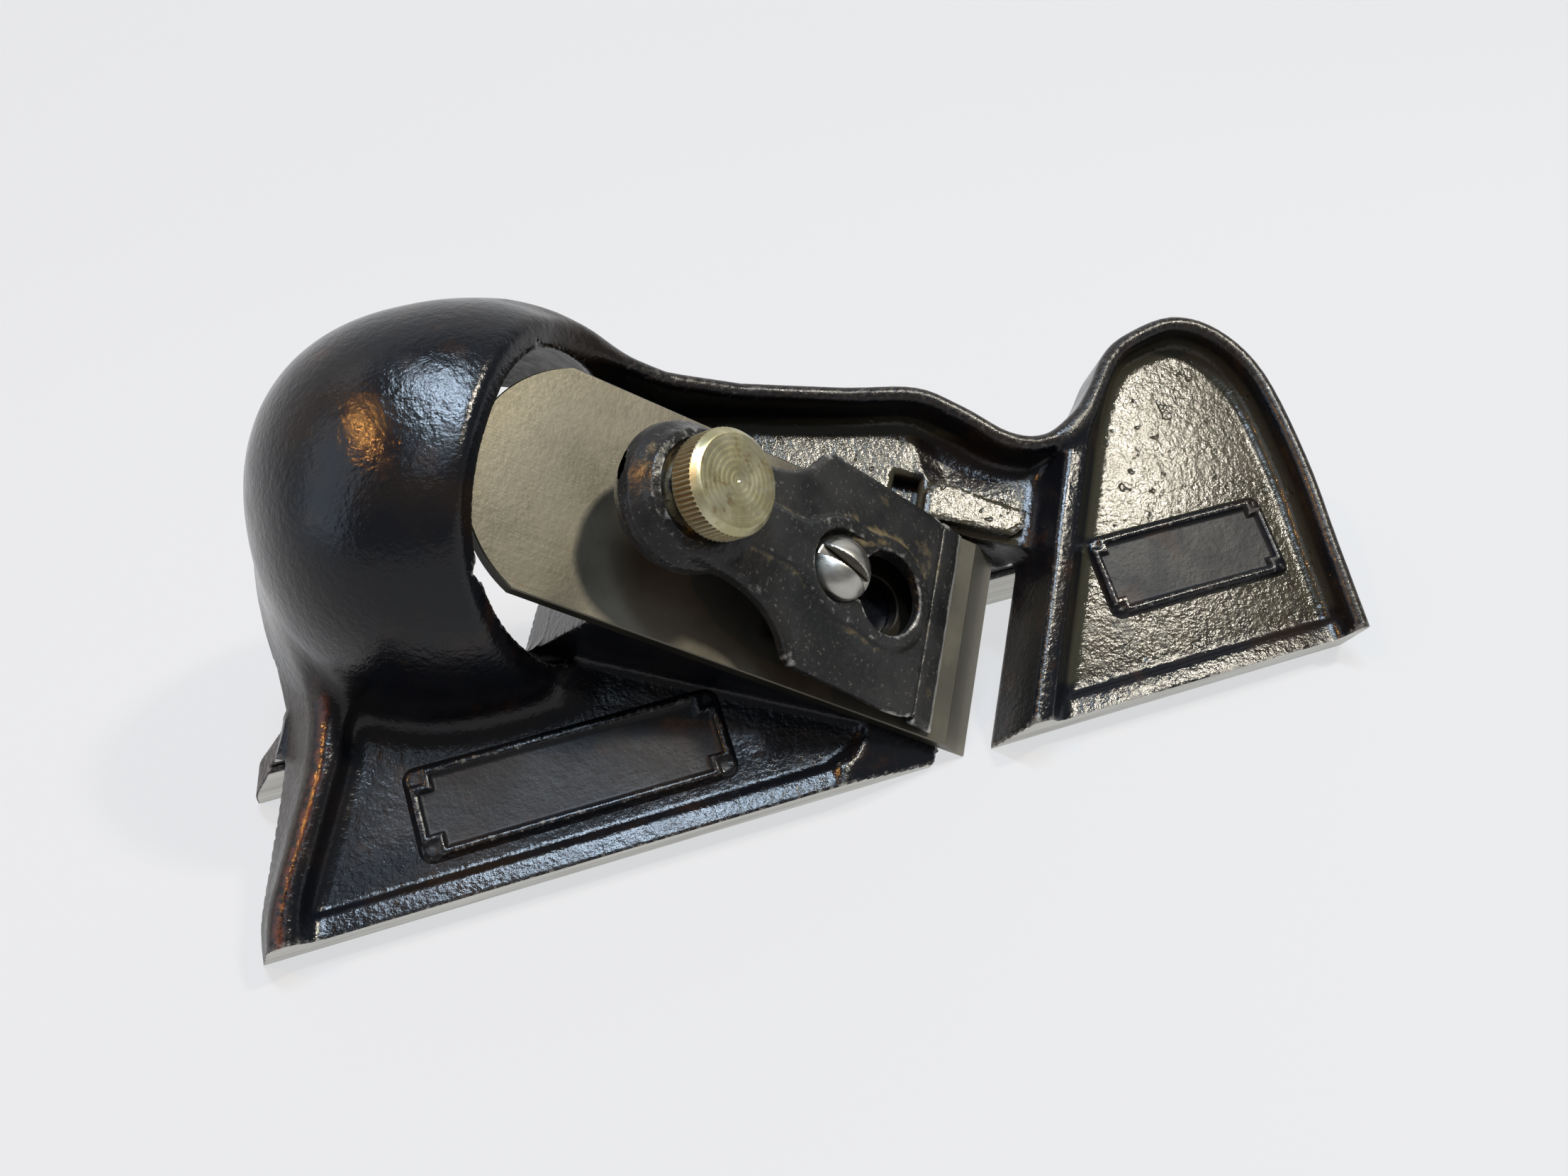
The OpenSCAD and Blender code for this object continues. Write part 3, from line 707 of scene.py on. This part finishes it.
def casting_marks(x, y, z, nx, ny, nz):
    """Which faces are ground bright, and which are bare and dull: the hood's inside and
    the fence's rear end."""
    ground = ((y < 0.05) & (ny < -0.9)) | ((z > -0.1) & (z < 0.05) & (nz < -0.9))
    ground |= (np.abs(y - SOLE_W) < 0.06) & (ny < -0.9) & (z < 0.1)
    ground |= (z + DROP < 0.05) & (nz < -0.9)
    inside = (np.abs(dome_field(x, y, z, HOOD_WALL)) < 0.4) & (z > WEB + 0.5)
    inside &= hood_front(x, y, z) < 0
    inside |= (np.abs(flare_field(x, z + DROP, y - SOLE_W)) < 0.3) & (nx < -0.6) & (z < -2)
    return {"ground": ground, "inside": inside}


def smooth(a, b, t):
    """A soft step from 0 where t is a to 1 where it is b."""
    t = np.clip((t - a) / (b - a), 0, 1)
    return t * t * (3 - 2 * t)


def rubbed_share(x, y, z):
    """1 where the japanning is rubbed dull: the rear end and the tops of the rims."""
    end = np.where(z < 0, flare_field(x, z + DROP, y - SOLE_W), flare_field(x, y, z))
    rim = polygon_field(x, y, np.vstack([[(SOLE_L, -6)], CREST, [(-6, 58), (-6, -6)]]))
    rim_top = (smooth(0.8, 0.4, np.abs(above_rim(x, z))) * smooth(-RIM - 0.3, -RIM + 0.3, rim)
               * smooth(1, 2, dome_field(x, y, z, 0.0)))
    off_dome = smooth(0.3, 1.2, dome_field(x, y, z, 0.0))
    return np.maximum(smooth(0.5, 0.2, np.abs(end)) * off_dome, 0.5 * rim_top)


def streak_share(x, y, z):
    """1 on the brown streak along the top of the rear rim."""
    lip = x - flare_x(y) - flare_lean(y)
    return smooth(1.1, 0.2, np.abs(lip - 1.2)) * smooth(7.9, 8.6, z) * smooth(10.2, 9.6, z)


def plaque_box(x, y, place):
    x0, y0, w, h, _ = place
    return np.maximum(np.abs(x - x0 - w / 2) - w / 2, np.abs(y - y0 - h / 2) - h / 2)


def web_share(x, y, z):
    """1 on the rough part of the web, ahead of the hood, 0 elsewhere."""
    across, back, _, _ = bed_axes(x, y, z)
    plain = (smooth(36.6, 37.4, across) * smooth(44.5, 43.5, across)
             * smooth(-3, -1.5, back) * smooth(15.5, 13.5, back))
    for place in PLAQUES:
        plain = np.maximum(plain, smooth(1.2, 0.2, plaque_box(x, y, place)))
    ahead = np.maximum(smooth(28, 31, across) * smooth(-2.4, -1.8, back),
                       smooth(-10.9, -11.6, back))
    ahead = ahead * smooth(56, 68, x) * smooth(4.2, 5.2, y)
    return smooth(2.2, 1.3, np.abs(z - WEB)) * ahead * (1 - plain)


def dull_share(x, y, z):
    """1 on the panels of the plaques, where the japanning is dull."""
    best = np.zeros_like(x)
    for place in PLAQUES:
        best = np.maximum(best, smooth(-0.3, -0.8, plaque_box(x, y, place)))
    return best * smooth(1, 0.5, np.abs(z - WEB))


def plaque(x0, y0, w, h, notch, margin=1.5, step=0.24, foot_r=2.2, slope=1.2):
    """A bare raised plaque: sloped sides, a thin ridge stepped in at the corners, a panel."""
    nx, ny = int((w + 2 * margin) / step) + 1, int((h + 2 * margin) / step) + 1
    x = np.linspace(x0 - margin, x0 + w + margin, nx)
    y = np.linspace(y0 - margin, y0 + h + margin, ny)
    qx, qy = np.abs(x - x0 - w / 2)[:, None], np.abs(y - y0 - h / 2)[None, :]
    crest = np.maximum(np.maximum(qx - w / 2, qy - h / 2),
                       np.minimum(qx - w / 2 + notch, qy - h / 2 + notch)) + 0.3
    foot = np.hypot(np.maximum(qx - w / 2 - slope + foot_r, 0),
                    np.maximum(qy - h / 2 - slope + foot_r, 0)) - foot_r
    band = -0.25 + 0.85 * smooth(0, slope, -foot)
    within = smooth(-0.8, -0.3, crest)
    gx, gy = np.meshgrid(x, y, indexing="ij")
    z = band * within + 0.1 * (1 - within) + 0.35 * smooth(0.7, 0.2, np.abs(crest))
    z[[0, -1]] = -0.3
    z[:, [0, -1]] = -0.3
    z += WEB + dish(gx, gy)
    verts = np.stack([gx, gy, z], 2).reshape(-1, 3)
    at = np.arange(nx * ny).reshape(nx, ny)
    faces = np.stack([at[:-1, :-1], at[1:, :-1], at[1:, 1:], at[:-1, 1:]], 2).reshape(-1, 4)
    ring = [*at[:-1, 0], *at[-1, :-1], *at[:0:-1, -1], *at[0, :0:-1]]
    low = verts[ring] - (0, 0, 0.7)
    below = list(range(len(verts), len(verts) + len(ring)))
    return (np.vstack([verts, low]),
            faces.tolist() + strip_between([below, ring]) + [tuple(below[::-1])])


def add_casting():
    verts, quads = contour(body_field, (-1.1, -1.1, -21.7), (156, 75.5, 40.6), BODY_STEP)
    verts, faces = thinned(verts, quads, BODY_SHARE)
    for place in PLAQUES:
        more, patch = plaque(*place)
        faces += [[i + len(verts) for i in q] for q in patch]
        verts = np.vstack([verts, more])
    return add_piece("casting", verts, faces, STAND, japanned_casting(), "casting", "body",
                     mark=casting_marks, extra={
                         "web": web_share(*verts.T), "dull": dull_share(*verts.T),
                         "rubbed": rubbed_share(*verts.T), "streak": streak_share(*verts.T)})


def iron_loop(inset, front, h):
    """Outline of the iron at one height, clockwise from its front left corner."""
    w, r = IRON_W, TAIL_R - inset
    a0 = math.asin((w / 2 - inset) / r)
    arc = [(w / 2 - r * math.sin(a), IRON_L - TAIL_R + r * math.cos(a))
           for a in np.linspace(a0, -a0, 41)]
    sides = np.linspace(front, arc[0][1], 12)[:-1]
    return [(inset, s, h) for s in sides] + [(u, s, h) for u, s in arc] \
        + [(w - inset, s, h) for s in sides[::-1]]


def slot_loop(inset, h, n=20):
    """Outline of the iron's slot at one height, with n points around each end."""
    r = SLOT_R + inset
    half = [(r * math.cos(a), r * math.sin(a)) for a in np.linspace(0, math.pi, n)]
    return ([(MIDLINE + u, SLOT_TOP + s, h) for u, s in half]
            + [(MIDLINE - u, SLOT_LOW - s, h) for u, s in half])


def add_iron():
    """The iron from loops around its outline and its slot, filled on both faces."""
    edge, honed, honed_h = 0.16, 2.1, 0.85
    ground = IRON_T / math.tan(math.radians(25))
    outer = [iron_loop(edge, 0.0, 0.0), iron_loop(0.0, edge * (honed / honed_h), edge),
             iron_loop(0.0, honed, honed_h), iron_loop(0.0, ground - 0.35, IRON_T - edge),
             iron_loop(edge, ground, IRON_T)]
    inner = [slot_loop(0.2, 0.0), slot_loop(0.0, 0.2), slot_loop(0.0, IRON_T - 0.2),
             slot_loop(0.2, IRON_T)]
    # the walls, then the two faces with the slot left open
    verts, faces, ends = [], [], []
    for loops in (outer, inner):
        rings = []
        for loop in loops:
            rings.append(list(range(len(verts), len(verts) + len(loop))))
            verts += loop
        faces += strip_between(rings)
        ends.append((rings[0], rings[-1]))
    work = bpy.data.meshes.new("work")
    work.from_pydata(verts, [], faces)
    bm = bmesh.new()
    bm.from_mesh(work)
    bm.verts.ensure_lookup_table()
    for side in (0, 1):
        edges = []
        for ring in (ends[0][side], ends[1][side]):
            for a, b in zip(ring, ring[1:] + ring[:1]):
                edges.append(bm.edges.get((bm.verts[a], bm.verts[b])))
        bmesh.ops.triangle_fill(bm, edges=edges, use_beauty=True, use_dissolve=False)
    bmesh.ops.recalc_face_normals(bm, faces=bm.faces[:])
    bm.verts.index_update()
    verts = np.array([v.co[:] for v in bm.verts])
    faces = [[v.index for v in f.verts] for f in bm.faces]
    bm.free()
    bpy.data.meshes.remove(work)
    return add_piece("cutting_iron", verts, faces, BED, iron_steel(), "iron", "cutting_iron",
                     crease=20)


def cap_marks(v, s, h, *_):
    """Which faces are inside the keyhole, where shade is painted near-black."""
    near = np.minimum(np.hypot(v - KEY_AT[0], s - KEY_AT[1]) - 5.7,
                      midline_box(v, s, 5.1, KEY_AT[1], 33.9))
    return {"hole": (near < 0) & (h < 5.2 + (s - 12) * CAP_RISE)}


def add_cap():
    verts, quads = contour(cap_field, (-0.6, 6.2, 0.9), (30.6, 61, 20.5), CAP_STEP)
    return add_piece("lever_cap", verts, quads, BED, cap_enamel(), "cap", "lever_cap",
                     mark=cap_marks)


def thumb_profile():
    """Radius, height and share of knurling down the thumb screw."""
    r, t = KNOB_R, KNOB_T
    out = [(0.0, -0.22, 0), (0.12, -0.2, 0), (0.22, -0.1, 0), (0.3, -0.01, 0)]
    for i in range(25):
        q = 1.0 + i * (r - 2.0) / 24
        out.append((q, -0.022 * (i % 2), 0))
    out += [(r - 0.85, 0, 0), (r - 0.72, -0.07, 0), (r - 0.12, -0.72, 0), (r, -0.9, 0),
            (r + 0.06, -1.0, 0.5), (r + 0.1, -1.15, 1), (r + 0.1, -2.0, 1), (r + 0.1, -3.0, 1),
            (r + 0.1, 1.0 - t, 1), (r, 0.8 - t, 0.5), (r - 0.25, 0.5 - t, 0),
            (r - 0.7, 0.05 - t, 0), (r - 0.9, -t, 0), (3.65, -t, 0), (3.6, -t - 0.05, 0),
            (3.6, -t - 0.4, 0), (3.5, -t - 0.5, 0), (2.5, -t - 0.52, 0)]
    reach = (THUMB_AT[2] - IRON_T) / math.cos(THUMB_TILT)
    thread, root, pitch = 2.4, 2.15, 0.85
    z = -t - 0.6
    while z > 1.9 - reach:
        out += [(thread, z, 0), (thread, z - 0.25, 0), (root, z - 0.5, 0), (root, z - 0.6, 0)]
        z -= pitch
    return out + [(thread, 1.6 - reach, 0), (1.1, 0.6 - reach, 0), (0.0, 0.6 - reach, 0)]


def add_thumb_screw():
    """The thumb screw, turned from its profile, with knurling cut into its rim."""
    n, teeth, depth = 384, 64, 0.34
    a = np.arange(n) * 2 * math.pi / n
    wave = 0.5 - 0.5 * np.cos(a * teeth)
    verts, rings, knurl = [], [], []
    for r, z, k in thumb_profile():
        if r == 0:
            rings.append([len(verts)] * n)
            verts.append((0, 0, z))
            knurl.append(0.0)
            continue
        rings.append(list(range(len(verts), len(verts) + n)))
        rr = r - depth * k * wave
        verts += zip(rr * np.cos(a), rr * np.sin(a), np.full(n, z))
        knurl += (k * (0.25 + 0.75 * wave)).tolist()
    faces = [tuple(dict.fromkeys(q))[::-1] for q in strip_between(rings)]
    return add_piece("thumb_screw", np.array(verts), faces, THUMB, knob_plating(),
                     "thumb_screw", "thumb_screw", extra={"knurl": knurl})


def add_cap_screw():
    verts, quads = contour(screw_field, (-5, -5, -8), (5, 5, 12.6), SCREW_STEP)
    return add_piece("cap_screw", verts, quads, SCREW, screw_steel(), "cap_screw",
                     "cap_screw")


add_casting()
add_iron()
add_cap()
add_thumb_screw()
add_cap_screw()


# ---- studio -----------------------------------------------------------------------
# The camera that was fitted to the photograph: its width and focal length in pixels, and
# the place (mm) and turn it was taken from
PHOTO_W, FOCAL = 2212, 2021.59
CAMERA_AT = (-44.8494, -164.8253, 125.6132)
CAMERA_TURN = ((0.94354, 0.24669, -0.221078), (-0.317589, 0.483933, -0.815443),
               (-0.094175, 0.839615, 0.534956))


def add_camera():
    data = bpy.data.cameras.new("camera")
    cam = bpy.data.objects.new("camera", data)
    bpy.context.scene.collection.objects.link(cam)
    data.sensor_width = 36
    data.lens = 36 * FOCAL / PHOTO_W
    data.clip_start, data.clip_end = 0.01, 20
    cam.matrix_world = Matrix.Translation(Vector(CAMERA_AT) * MM) @ Matrix(CAMERA_TURN).to_4x4()
    bpy.context.scene.camera = cam


def add_stage():
    """A pale floor of paper that bends up behind the plane."""
    mesh = bpy.data.meshes.new("floor")
    half, front, back, top, bend, steps = 1.6, -1.2, 0.55, 1.2, 0.35, 16
    turns = [math.pi / 2 * k / steps for k in range(steps + 1)]
    prof = [(front, 0.0), *((back - bend + bend * math.sin(a), bend - bend * math.cos(a))
                            for a in turns), (back, top)]
    verts = [(x, y, z) for (y, z) in prof for x in (-half, half)]
    faces = [(2 * k, 2 * k + 1, 2 * k + 3, 2 * k + 2) for k in range(len(prof) - 1)]
    mesh.from_pydata(verts, [], faces)
    mesh.shade_smooth()
    floor = bpy.data.objects.new("floor", mesh)
    bpy.context.scene.collection.objects.link(floor)
    mat = bpy.data.materials.new("paper")
    mat.use_nodes = True
    b = mat.node_tree.nodes["Principled BSDF"]
    b.inputs["Base Color"].default_value = (0.06, 0.06, 0.06, 1)
    b.inputs["Roughness"].default_value = 0.9
    b.inputs["Emission Color"].default_value = (0.97, 0.98, 1, 1)
    b.inputs["Emission Strength"].default_value = 0.66
    mesh.materials.append(mat)


def area(name, toward, aim, size, power, color=(1, 1, 1), far=1.0):
    """A softbox seen from aim in the direction toward."""
    data = bpy.data.lights.new(name, "AREA")
    data.shape = "RECTANGLE"
    data.size, data.size_y = size
    data.energy = power
    data.color = color
    o = bpy.data.objects.new(name, data)
    o.location = Vector(aim) + Vector(toward).normalized() * far
    o.rotation_euler = (Vector(aim) - o.location).to_track_quat("-Z", "Y").to_euler()
    bpy.context.scene.collection.objects.link(o)


add_camera()
add_stage()
area("key", (0.46, -0.31, 0.84), (0.04, 0, 0.03), (0.09, 0.09), 10.5, (1, 0.93, 0.78))
area("window", (0.09, -0.15, 0.98), (-0.038, -0.01, 0.062), (0.13, 0.46), 14.0, (0.66, 0.82, 1))
area("lamp", (-0.499, -0.132, 0.857), (-0.049, -0.013, 0.06), (0.02, 0.02), 5.0, (1, 0.45, 0.1))
area("sheen", (-0.06, -0.5, 0.86), (-0.05, -0.03, 0.01), (0.16, 0.16), 0.45, (0.7, 0.85, 1))
area("top", (-0.3, 0.55, 0.8), (0, 0.05, 0.02), (1.0, 0.7), 4.0, far=1.3)
area("side", (-0.9, -0.1, 0.45), (0, 0, 0.02), (0.6, 0.9), 3.0, (0.7, 0.84, 1))
world = bpy.data.worlds.new("studio")
world.use_nodes = True
world.node_tree.nodes["Background"].inputs["Color"].default_value = (0.95, 0.96, 1.0, 1)
world.node_tree.nodes["Background"].inputs["Strength"].default_value = 0.25
bpy.context.scene.world = world
bpy.context.scene.view_settings.view_transform = "Standard"
